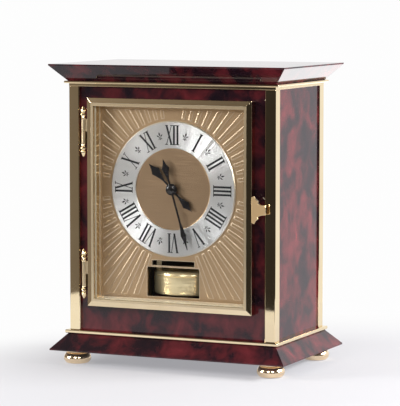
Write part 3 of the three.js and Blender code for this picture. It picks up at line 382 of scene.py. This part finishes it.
rim_silver = polished_metal("polished_silver", (0.80, 0.78, 0.75), (0.90, 0.88, 0.84), 0.3, 0.1)
black = gloss_black()
ink = printed_black()
glass = door_glass()
movement_brass = satin_metal("gilded_movement", (0.62, 0.47, 0.24), (0.76, 0.60, 0.34), 0.24, 0.06)
steel = polished_metal("polished_steel", (0.55, 0.56, 0.58), (0.70, 0.71, 0.73), 0.14, 0.14)
slot_finish = {
    "lacquer": lacquer, "polished_brass": brass, "gilt_dial": gilt, "silvered": silver, "black_steel": black,
    "clear_glass": glass, "movement_brass": movement_brass, "steel": steel}
node_slot = {row["node"]: row["material_slot"] for row in frame["record"]["subparts"]}


def rest():
    """Back to object mode, with nothing selected."""
    if bpy.context.object and bpy.context.object.mode == "EDIT":
        bpy.ops.object.mode_set(mode="OBJECT")
    bpy.ops.object.select_all(action="DESELECT")


def hold(*pieces):
    rest()
    for piece in pieces:
        piece.select_set(True)
    bpy.context.view_layer.objects.active = pieces[0]


def work(piece, kind="FACE"):
    """Edit mode on one piece, with all of it selected."""
    hold(piece)
    bpy.ops.object.mode_set(mode="EDIT")
    bpy.ops.mesh.select_mode(type=kind)
    bpy.ops.mesh.select_all(action="SELECT")


def choose(piece, kind, test):
    """In edit mode, select the faces, edges or corners that pass the test."""
    bpy.ops.mesh.select_mode(type=kind)
    bpy.ops.mesh.select_all(action="DESELECT")
    mesh = bmesh.from_edit_mesh(piece.data)
    for part in {"VERT": mesh.verts, "EDGE": mesh.edges, "FACE": mesh.faces}[kind]:
        if test(part):
            part.select_set(True)
    mesh.select_flush_mode()
    bmesh.update_edit_mesh(piece.data)


def settle(piece):
    """Close what an operator left open and turn the faces outwards."""
    bpy.ops.mesh.select_all(action="SELECT")
    bpy.ops.mesh.remove_doubles(threshold=MERGE)
    bpy.ops.mesh.normals_make_consistent(inside=False)
    rest()
    return piece


def joined(pieces):
    hold(*pieces)
    bpy.ops.object.join()
    return bpy.context.object


def copied(piece, spot, turn):
    hold(piece)
    bpy.ops.object.duplicate()
    copy = bpy.context.object
    copy.location = spot
    copy.rotation_euler = (0, turn, 0)
    return copy


def removed(*pieces):
    hold(*pieces)
    bpy.ops.object.delete()


def applied(piece):
    hold(piece)
    bpy.ops.object.transform_apply(location=True, rotation=True, scale=True)
    return piece


def rounded(piece, width, steps=2, sharp=30):
    hold(piece)
    bpy.ops.object.modifier_add(type="BEVEL")
    bevel = piece.modifiers[-1]
    bevel.width = width
    bevel.segments = steps
    bevel.limit_method = "ANGLE"
    bevel.angle_limit = radians(sharp)
    bevel.harden_normals = True
    bpy.ops.object.modifier_apply(modifier=bevel.name)
    return piece


def done(piece, name, body, slot, finishes, stands_for=(), second=None, smooth=None):
    """Name a finished piece, give it its finishes, and hang it on its body.

    A piece that flexes between two bodies is given none here.
    """
    applied(piece)
    if smooth:
        bpy.ops.object.shade_smooth_by_angle(angle=radians(smooth))
    piece.name = name
    piece.data.name = name
    piece.data.materials.clear()
    for finish in finishes:
        piece.data.materials.append(finish)
    for face in piece.data.polygons:
        face.material_index = 1 if second and second(face) else 0
    if body:
        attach(piece, body)
    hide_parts(*stands_for)
    return piece


def turned(profile, centre, axis, steps):
    """One corner drawn out along a profile of radius and place on the axis, then spun round."""
    spots = [centre + X_AXIS * r * MM + axis * a * MM for r, a in profile]
    rest()
    bpy.ops.mesh.primitive_plane_add(size=MM, location=spots[0])
    piece = bpy.context.object
    applied(piece)
    work(piece, "VERT")
    bpy.ops.mesh.merge(type="CENTER")
    for here, there in zip(spots, spots[1:]):
        bpy.ops.mesh.extrude_vertices_move(TRANSFORM_OT_translate={"value": there - here})
    bpy.ops.mesh.select_all(action="SELECT")
    bpy.ops.mesh.spin(steps=steps, angle=2 * pi, center=centre, axis=axis)
    return settle(piece)


def middle(node):
    lo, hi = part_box(node)
    return (lo + hi) / 2


def upright_plane(width, height, spot):
    """A plane that faces the front."""
    rest()
    bpy.ops.mesh.primitive_plane_add(size=1, location=spot, rotation=(pi / 2, 0, 0))
    plane = bpy.context.object
    plane.scale = (width, height, 1)
    return applied(plane)


def raised(piece, height):
    """Give flat front faces a thickness towards the front."""
    work(piece)
    bpy.ops.mesh.extrude_region_move(TRANSFORM_OT_translate={"value": (0, -height, 0)})
    return settle(piece)


def solid_copy(node):
    """A copy of a solid, merged, with its flat faces whole."""
    hold(nodes[node])
    bpy.ops.object.duplicate()
    piece = bpy.context.object
    piece.parent = None
    del piece["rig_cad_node"]
    bpy.ops.mesh.customdata_custom_splitnormals_clear()
    work(piece)
    bpy.ops.mesh.remove_doubles(threshold=MERGE)
    bpy.ops.mesh.dissolve_limited(angle_limit=radians(0.4))
    rest()
    return piece


def dressed(node, finishes, edge, steps=2, sharp=30, second=None):
    """A copy of a solid with its sharp edges eased."""
    piece = solid_copy(node)
    hold(piece)
    bpy.ops.object.shade_smooth()
    rounded(piece, edge * MM, steps, sharp)
    return done(piece, node + "_eased", nodes[node]["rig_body"], node_slot[node], finishes, [node], second)


def stroke(width, low, high, foot=0.0, head=0.0):
    """A flat bar on the dial from its foot to its head, which may lie to one side."""
    bar = upright_plane(width * MM, (high - low) * MM, (foot * MM, 0, (low + high) / 2 * MM))
    work(bar, "VERT")
    choose(bar, "VERT", lambda corner: corner.co.z > (low + high) / 2 * MM)
    bpy.ops.transform.translate(value=((head - foot) * MM, 0, 0))
    rest()
    return bar


def serif(across, width, level):
    low = level if level == NUMERAL_FOOT else level - SERIF
    return stroke(width, low, low + SERIF, across, across)


def numeral_letters():
    """The three letters of the hours, upright at twelve, with their middle on the dial's axis."""
    low, high = NUMERAL_FOOT, NUMERAL_HEAD
    one = [stroke(THICK_STROKE, low, high)] + [serif(0, STROKE_PITCH, z) for z in (low, high)]
    lean, point = 2.55, 0.1
    five = [stroke(THICK_STROKE, low, high, point, -lean), stroke(THIN_STROKE, low, high, point, lean)]
    five += [serif(-lean, 2.5, high), serif(lean, 2.1, high)]
    cross = 2.2
    ten = [stroke(THICK_STROKE, low, high, cross, -cross), stroke(THIN_STROKE, low, high, -cross, cross)]
    ten += [serif(x, 2.4, z) for x in (-cross, cross) for z in (low, high)]
    return {"I": joined(one), "V": joined(five), "X": joined(ten)}


def on_ring(pieces):
    """One piece on the face of the chapter ring, made of pieces that lie round the origin."""
    whole = applied(joined(pieces))
    whole.location = Vector((hand_spot.x, ring_face, hand_spot.z))
    return applied(whole)


def hour_numerals():
    letters = numeral_letters()
    strokes = []
    for hour, word in enumerate(HOURS):
        turn = radians(HOUR_STEP * hour)
        along = -sum(LETTER_SPACE[c] for c in word) / 2
        for c in word:
            shift = (along + LETTER_SPACE[c] / 2) * MM
            strokes.append(copied(letters[c], Vector((shift * cos(turn), 0, -shift * sin(turn))), turn))
            along += LETTER_SPACE[c]
    removed(*letters.values())
    return on_ring(strokes)


def leaf(width, length, spot, turn):
    """A flat pointed leaf."""
    rest()
    bpy.ops.mesh.primitive_circle_add(vertices=8, radius=0.5, fill_type="NGON", rotation=(pi / 2, 0, 0))
    blade = bpy.context.object
    applied(blade)
    work(blade, "VERT")
    choose(blade, "VERT", lambda corner: abs(corner.co.z) > 0.3 and abs(corner.co.x) > 0.3)
    bpy.ops.transform.resize(value=(0.62, 1, 1))
    rest()
    blade.scale = (width * MM, 1, length * MM)
    blade.rotation_euler = (0, radians(turn), 0)
    blade.location = (spot[0] * MM, 0, spot[1] * MM)
    return applied(blade)


def half_hour_marks():
    """The fleurs between the hours: one is made, and the others are copies."""
    m = MARK_RADIUS
    parts = [
        leaf(1.35, 3.4, (0, m + 1.75), 0),
        leaf(1.1, 2.7, (-1.55, m + 0.35), -48), leaf(1.1, 2.7, (1.55, m + 0.35), 48),
        leaf(2.2, 0.6, (0, m - 0.75), 0), leaf(0.95, 1.9, (0, m - 2.2), 0),
        leaf(0.75, 1.6, (-1.05, m - 1.9), 42), leaf(0.75, 1.6, (1.05, m - 1.9), -42)]
    first = joined(parts)
    turns = [HOUR_STEP * hour + HOUR_STEP / 2 for hour in range(len(HOURS))]
    others = [copied(first, ORIGIN, radians(turn)) for turn in turns]
    removed(first)
    return on_ring(others)


def sun_rays():
    """Low wedges on the dial that end at a rectangle, with bright sloping sides."""
    spread = tan(radians(RAY_WIDTH / 2))
    halfway = (RAY_REACH + RAY_START) / 2 * MM
    wedge = upright_plane(2 * RAY_START * spread * MM, (RAY_REACH - RAY_START) * MM, (0, 0, halfway))
    work(wedge, "VERT")
    choose(wedge, "VERT", lambda corner: corner.co.z > halfway)
    bpy.ops.transform.resize(value=(RAY_REACH / RAY_START, 1, 1))
    rest()
    turns = [
        turn for turn in range(RAY_PITCH // 2, 360, RAY_PITCH)
        if all(abs(turn - bare) >= gap for bare, gap in RAY_GAPS.items())]
    others = [copied(wedge, ORIGIN, radians(turn)) for turn in turns]
    removed(wedge)
    rays = applied(joined(others))
    rays.location = hand_spot
    applied(rays)
    work(rays)
    cuts = [(RAY_SIDE, 0, X_AXIS), (-RAY_SIDE, 0, -X_AXIS), (0, RAY_TOP, Z_AXIS), (0, RAY_BOTTOM, -Z_AXIS)]
    for x, z, outwards in cuts:
        bpy.ops.mesh.select_all(action="SELECT")
        place = hand_spot + Vector((x * MM, 0, z * MM))
        bpy.ops.mesh.bisect(plane_co=place, plane_no=outwards, clear_outer=True)
    bpy.ops.mesh.select_all(action="SELECT")
    bpy.ops.mesh.extrude_region_move(TRANSFORM_OT_translate={"value": (0, -RAY_STEP * MM, 0)})
    clear = dial_face - 0.4 * RAY_STEP * MM
    choose(rays, "FACE", lambda face: face.normal.y < -0.9 and face.calc_center_median().y < clear)
    bpy.ops.mesh.inset(thickness=RAY_SLOPE * MM, depth=RAY_RISE * MM, use_individual=True)
    return settle(rays)


def opening_rim(size, level):
    """A thin bright edge round an opening of the dial."""
    width, height = [(length + RIM_MARGIN) * MM for length in size]
    rim = upright_plane(width, height, Vector((0, dial_face, level * MM)))
    work(rim)
    bpy.ops.mesh.inset(thickness=RIM_WIDTH * MM, depth=0)
    bpy.ops.mesh.delete(type="FACE")
    rest()
    return rounded(raised(rim, RIM_RISE * MM), RIM_EASE * MM)


def dial_details():
    def flat(face):
        return face.normal.y < -0.985

    ring_thick = (dial_face - ring_face) / MM
    outer = ring_outer / MM
    inner = outer - RING_WIDTH
    ring = turned([
        (inner, 0), (inner, -ring_thick * 0.7), (inner + 0.5, -ring_thick), (outer - 0.9, -ring_thick),
        (outer, -ring_thick * 0.45), (outer, 0), (inner, 0)], hand_spot, Y_AXIS, 180)
    done(
        ring, "chapter_ring_silvered", "case", "silvered", [rim_silver, silver], ["chapter_ring"], flat,
        smooth=20)
    disc_thick = (disc_hi.y - disc_lo.y) / MM
    edge = disc_hi.x / MM
    disc = turned([
        (DISC_HOLE, 0), (DISC_HOLE, -disc_thick), (edge - 0.3, -disc_thick), (edge, -disc_thick + 0.2),
        (edge, 0), (DISC_HOLE, 0)], hand_spot, Y_AXIS, 120)
    done(
        disc, "dial_centre_brushed", "case", "gilt_dial", [gilt, disc_gilt], ["dial_centre"], flat,
        smooth=20)
    done(raised(hour_numerals(), INK_THICK * MM), "hour_numerals", "case", "black_steel", [ink])
    done(raised(half_hour_marks(), INK_THICK * MM), "half_hour_marks", "case", "black_steel", [ink])
    done(sun_rays(), "sun_rays", "case", "gilt_dial", [bright_cut, gilt], second=flat)
    done(opening_rim(WINDOW_SIZE, WINDOW_LEVEL), "window_rim", "case", "gilt_dial", [bright_cut])
    done(opening_rim(SLOT_SIZE, SLOT_LEVEL), "slot_rim", "case", "gilt_dial", [bright_cut])


def hands():
    for node in ("hour_hand", "minute_hand"):
        dressed(node, [black], 0.14, sharp=40)
    lo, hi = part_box("hand_cap")
    radius, rise = hi.x / MM, (hi.y - lo.y) / MM
    dome = [(radius * cos(t), -rise * (0.45 + 0.55 * sin(t))) for t in (radians(7.5 * k) for k in range(12))]
    cap = turned([(0, 0), (radius, 0), *dome, (0, -rise)], Vector((0, hi.y, hand_spot.z)), Y_AXIS, 48)
    done(cap, "hand_cap_domed", "minute_arbor", "black_steel", [black], ["hand_cap"], smooth=50)


def feet():
    """Bun feet with a ring under the plinth and a stud into it."""
    bun_top, pad, groove, widest = 9.0, 6.8, 8.8, 11.3
    collar, plinth, stud, stud_top = 10.3, 11.5, 3, 19.5
    bun = []
    for k in range(1, 16):
        t = k / 16
        swell = sin(pi * min(1, 0.12 + 0.8 * t))
        edge = pad + (groove - pad) * t
        bun.append((edge + (widest - edge) * swell, bun_top * t))
    profile = [
        (0, 0), (pad - 0.5, 0), *bun, (groove, bun_top), (groove - 0.3, 9.3), (groove, 9.6),
        (collar - 0.2, 9.8), (collar, 10.1), (collar, plinth - 0.2), (collar - 0.2, plinth),
        (stud, plinth), (stud, stud_top), (0, stud_top)]
    for node in ("foot_rear_left", "foot_rear_right", "levelling_foot_left", "levelling_foot_right"):
        spot = middle(node)
        foot = turned(profile, Vector((spot.x, spot.y, 0)), Z_AXIS, 64)
        body = nodes[node]["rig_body"]
        done(foot, node + "_turned", body, "polished_brass", [foot_brass], [node], smooth=32)


def hinge_pins():
    for node in ("hinge_pin_upper", "hinge_pin_lower"):
        lo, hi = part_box(node)
        half = (hi.z - lo.z) / 2 / MM
        start = half - FINIAL_LENGTH
        finial = [(PIN_RADIUS, start)]
        finial += [(FINIAL_RADIUS * wide, start + along * FINIAL_LENGTH) for wide, along in FINIAL]
        profile = [(0, -half), *[(a, -b) for a, b in reversed(finial)], *finial, (0, half)]
        pin = turned(profile, middle(node), Z_AXIS, 32)
        done(pin, node + "_turned", "case", "polished_brass", [brass], [node], smooth=40)


def pendulum():
    lo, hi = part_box("pendulum_ring")
    outer, tall, wall, lip, ease = hi.x / MM, (hi.z - lo.z) / MM, 8, 3, 1.4
    inner, neck = outer - wall, tall - lip

    def arc(steps):
        return [radians(90 * k / steps) for k in range(steps + 1)]

    foot = [(outer - ease + ease * sin(t), ease - ease * cos(t)) for t in arc(5)]
    head = [(outer - lip + lip * cos(t), neck + lip * sin(t)) for t in arc(8)]
    profile = [
        (inner, 0.5), (inner + 0.5, 0), *foot, (outer, neck - 1), (outer - 0.3, neck - 0.8),
        (outer - 0.5, neck - 0.5), (outer - 0.3, neck - 0.1), *head, (inner + 0.5, tall), (inner, tall - 0.5)]
    spot = middle("pendulum_ring")
    drum = turned([*profile, profile[0]], Vector((spot.x, spot.y, lo.z)), Z_AXIS, 120)
    done(
        drum, "pendulum_ring_turned", "pendulum", "polished_brass", [drum_brass], ["pendulum_ring"],
        smooth=40)
    dressed("pendulum_strap", [pale_brass], 0.3)


def back_screws():
    """A domed head with a driver slot: one is made, and the others are copies."""
    names = [f"back_screw_{level}_{side}" for level in ("lower", "upper") for side in ("left", "right")]
    slot_turns = (24, 71, -38, 8)
    lo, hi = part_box(names[0])
    r, h, shank, length = (hi.x - lo.x) / 2 / MM, 1.5, 1.3, 8
    groove_wide, cutter_deep, cutter_lift = 0.7, 1.6, 0.35
    dome = [(r * cos(t), h * (0.35 + 0.65 * sin(t))) for t in (radians(10 * k) for k in range(9))]
    profile = [(0, -length), (shank, -length), (shank, 0), (r, 0), *dome, (0, h)]
    screw = turned(profile, ORIGIN, Y_AXIS, 40)
    rest()
    bpy.ops.mesh.primitive_cube_add(size=1, location=(0, (h + cutter_lift) * MM, 0))
    cutter = bpy.context.object
    cutter.scale = (3 * r * MM, cutter_deep * MM, groove_wide * MM)
    applied(cutter)
    hold(screw)
    bpy.ops.object.modifier_add(type="BOOLEAN")
    groove = screw.modifiers[-1]
    groove.operation = "DIFFERENCE"
    groove.object = cutter
    bpy.ops.object.modifier_apply(modifier=groove.name)
    removed(cutter)
    for name, turn in zip(names, slot_turns):
        spot = middle(name)
        spot.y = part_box(name)[1].y - h * MM
        copy = copied(screw, spot, radians(turn))
        done(copy, name + "_slotted", "case", "polished_brass", [brass], [name], smooth=35)
    removed(screw)


def case_pieces():
    for node in ("base_plinth", "top_cornice"):
        dressed(node, [lacquer], 0.35, steps=3)
    for node in ("base_moulding", "top_moulding"):
        dressed(node, [brass], 0.3)
    for end in ("front", "rear"):
        for side in ("left", "right"):
            dressed(f"corner_post_{end}_{side}", [brass], 0.15)
    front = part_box("door_frame")[0].y

    def flat(face):
        return face.normal.y < -0.99 and face.center.y < front + 0.1 * MM

    def lit(face):
        return face.normal.y < -0.9 or face.normal.z > 0.9

    def edge(face):
        return abs(face.normal.y) < 0.93

    dressed("door_frame", [brass, pale_brass], 0.25, sharp=12, second=flat)
    # The faces of the bead and the surround that look up or to the front take the pale brass, which is a
    # painted sheen.
    dressed("glass_bead", [brass, sheen_painted_brass], 0.06, second=lit)
    dressed("dial_surround", [reveal_brass, sheen_painted_brass], 0.06, second=lit)
    dressed("door_pull", [pull_gilt, brass], 0.35, steps=3, sharp=40, second=edge)
    for piece in ("door_knuckle", "case_knuckle"):
        for level in ("upper", "lower"):
            dressed(f"{piece}_{level}", [pale_brass], 0.12, sharp=50)


def movement_pieces():
    for node in ("movement_platform", "movement_front_plate", "movement_back_plate"):
        dressed(node, [movement_brass], 0.2)


def bellows_pieces():
    """A smooth cup, and copies of the capsule and the spring, which in the clock flex as the plunger between
    them slides; the copies hang on no body.
    """
    lo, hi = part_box("bellows_housing")
    r, deep, wall = hi.x / MM, (hi.y - lo.y) / MM, 1.5
    profile = [(0, deep), (r, deep), (r, 0), (r - wall, 0), (r - wall, deep - wall), (0, deep - wall)]
    cup = turned(profile, Vector((0, lo.y, middle("bellows_housing").z)), Y_AXIS, 96)
    slot = node_slot["bellows_housing"]
    done(cup, "bellows_housing_turned", "case", slot, [slot_finish[slot]], ["bellows_housing"], smooth=40)
    for node, still, moving in (("counter_spring", 0, 1), ("bellows_capsule", 1, 0)):
        slot = node_slot[node]
        piece = done(solid_copy(node), node + "_flexing", None, slot, [slot_finish[slot]], [node], smooth=40)
        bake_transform(piece)


def table_top():
    """A pale table that ends in front and on the left. Away from the clock's shadow it is seen as white, and
    near the clock its glow is painted greyer as a painted shade.
    """
    along, across = TABLE_DEEP / 2 - TABLE_NEAR, TABLE_WIDE / 2 - TABLE_LEFT
    backwards = Vector((-sin(TABLE_TURN), cos(TABLE_TURN), 0))
    sideways = Vector((cos(TABLE_TURN), sin(TABLE_TURN), 0))
    rest()
    bpy.ops.mesh.primitive_plane_add(size=1)
    table = bpy.context.object
    table.name = "table_top"
    table.scale = (TABLE_WIDE, TABLE_DEEP, 1)
    table.rotation_euler = (0, 0, TABLE_TURN)
    table.location = along * backwards + across * sideways
    f = new_finish("pale_table")
    camera_ray = f.node("ShaderNodeLightPath", {}, {}, "Is Camera Ray")
    seen = camera_ray + camera_ray.other("Is Glossy Ray") + camera_ray.other("Is Transmission Ray")
    tone = f.mixed(f.noise(f.place(), 3, 2), (0.53, 0.53, 0.55), (0.57, 0.57, 0.59))
    matt = f.node("ShaderNodeBsdfDiffuse", {}, {"Color": tone})
    x, y, _ = f.axes(f.place())
    side, depth = x * TABLE_WIDE + across, y * TABLE_DEEP + along
    out = (side * side + depth * depth) ** 0.5
    # It whitens with the distance from the clock, sooner behind it and to its left: the matt share gives way
    # to the glow, and the glow's colour carries a painted shade that is greyest by the clock.
    far = f.eased(2 * out + 0.7 * depth - side, 0.2, 0.75, 0.4, 1.0)
    painted_shade_fade = f.eased(1.3 * out + 0.8 * depth - 0.7 * side, 0.05, 0.5)
    glow = f.node("ShaderNodeEmission", {}, {
        "Color": f.mixed(painted_shade_fade, (0.86, 0.86, 0.91), (0.985, 0.985, 0.985)), "Strength": 1.0})
    share = far * f.node("ShaderNodeClamp", {}, {"Value": seen})
    table.data.materials.append(f.output(f.node("ShaderNodeMixShader", {}, {0: share, 1: matt, 2: glow})))


def white_room():
    """White where the camera looks, and a dim room with a bright far side in what the clock mirrors."""
    world = bpy.data.worlds.new("studio")
    bpy.context.scene.world = world
    w = Finish(world)
    camera_ray = w.node("ShaderNodeLightPath", {}, {}, "Is Camera Ray")
    glossy_ray = camera_ray.other("Is Glossy Ray")
    x, y, z = w.axes(w.node("ShaderNodeTexCoord", {}, {}, "Generated"))
    back = w.eased(x * away.x + y * away.y, -0.06, 0.16)
    roof = w.eased(z, 0.55, 0.8, 1.0, 0.0)
    left_wall = w.eased(x, -0.5, -0.375, 0.24, 0.03)
    ceiling = w.eased(z, 0.15, 0.45, 0.0, 0.1)
    ground = w.eased(-1 * z, 0.15, 0.35, 0.0, 0.5)
    room = left_wall + ceiling + ground
    right_behind = w.eased(0.3 * x + 0.95 * y, 0.15, 0.4)
    mirrored = glossy_ray * (1 - camera_ray) * (room + (1 - room) * right_behind * roof)
    lit = (1 - camera_ray) * (1 - glossy_ray) * (0.26 + 0.3 * back)
    tint = w.mixed(right_behind + camera_ray, (1.0, 0.87, 0.75), (1.0, 1.0, 1.0))
    shade = w.node("ShaderNodeBackground", {}, {
        "Color": tint, "Strength": 0.985 * camera_ray + mirrored + lit})
    w.node("ShaderNodeOutputWorld", {}, {"Surface": shade})


def soft_lamp(name, side, rise, reach, width, height, energy, aim=Vector((0, -0.04, 0.13))):
    """A soft lamp so far from what it is aimed at, to the right of the front and up, in degrees."""
    side, rise = radians(side), radians(rise)
    spot = aim + reach * Vector((sin(side) * cos(rise), -cos(side) * cos(rise), sin(rise)))
    rest()
    bpy.ops.object.light_add(type="AREA", location=spot)
    lamp = bpy.context.object
    lamp.name = name
    lamp.data.shape = "RECTANGLE"
    lamp.data.size = width
    lamp.data.size_y = height
    lamp.data.energy = energy
    lamp.visible_camera = False
    lamp.rotation_euler = (aim - spot).to_track_quat("-Z", "Y").to_euler()


def lamps():
    soft_lamp("left_lamp", side=-58, rise=17, reach=1.4, width=0.5, height=0.6, energy=16)
    soft_lamp("front_lamp", side=3, rise=22, reach=1.6, width=0.5, height=0.24, energy=5)
    soft_lamp("right_front_lamp", side=42, rise=24, reach=1.5, width=0.5, height=0.3, energy=5.5)
    soft_lamp("right_lamp", side=106, rise=21, reach=1.3, width=0.9, height=0.2, energy=34)
    behind = Vector((0.04, 0.52, 0.305))
    soft_lamp("table_card", side=180, rise=-90, reach=0.3, width=0.3, height=0.34, energy=0.72, aim=behind)


def camera():
    """The photograph's camera, with no tone curve."""
    forward = away * cos(CAMERA_PITCH) - Z_AXIS * sin(CAMERA_PITCH)
    bpy.ops.object.camera_add(location=CAMERA_SPOT)
    eye = bpy.context.object
    eye.rotation_euler = forward.to_track_quat("-Z", "Y").to_euler()
    eye.data.sensor_width = 36
    eye.data.lens = CAMERA_LENS
    eye.data.clip_end = 20
    bpy.context.scene.camera = eye
    bpy.context.scene.view_settings.view_transform = "Standard"


for name, solid in nodes.items():
    solid.material_slots[0].material = satin_lacquer if name == "back_panel" else slot_finish[node_slot[name]]

table_top()
white_room()
lamps()
camera()
case_pieces()
dial_details()
hands()
feet()
hinge_pins()
pendulum()
back_screws()
movement_pieces()
bellows_pieces()
rest()
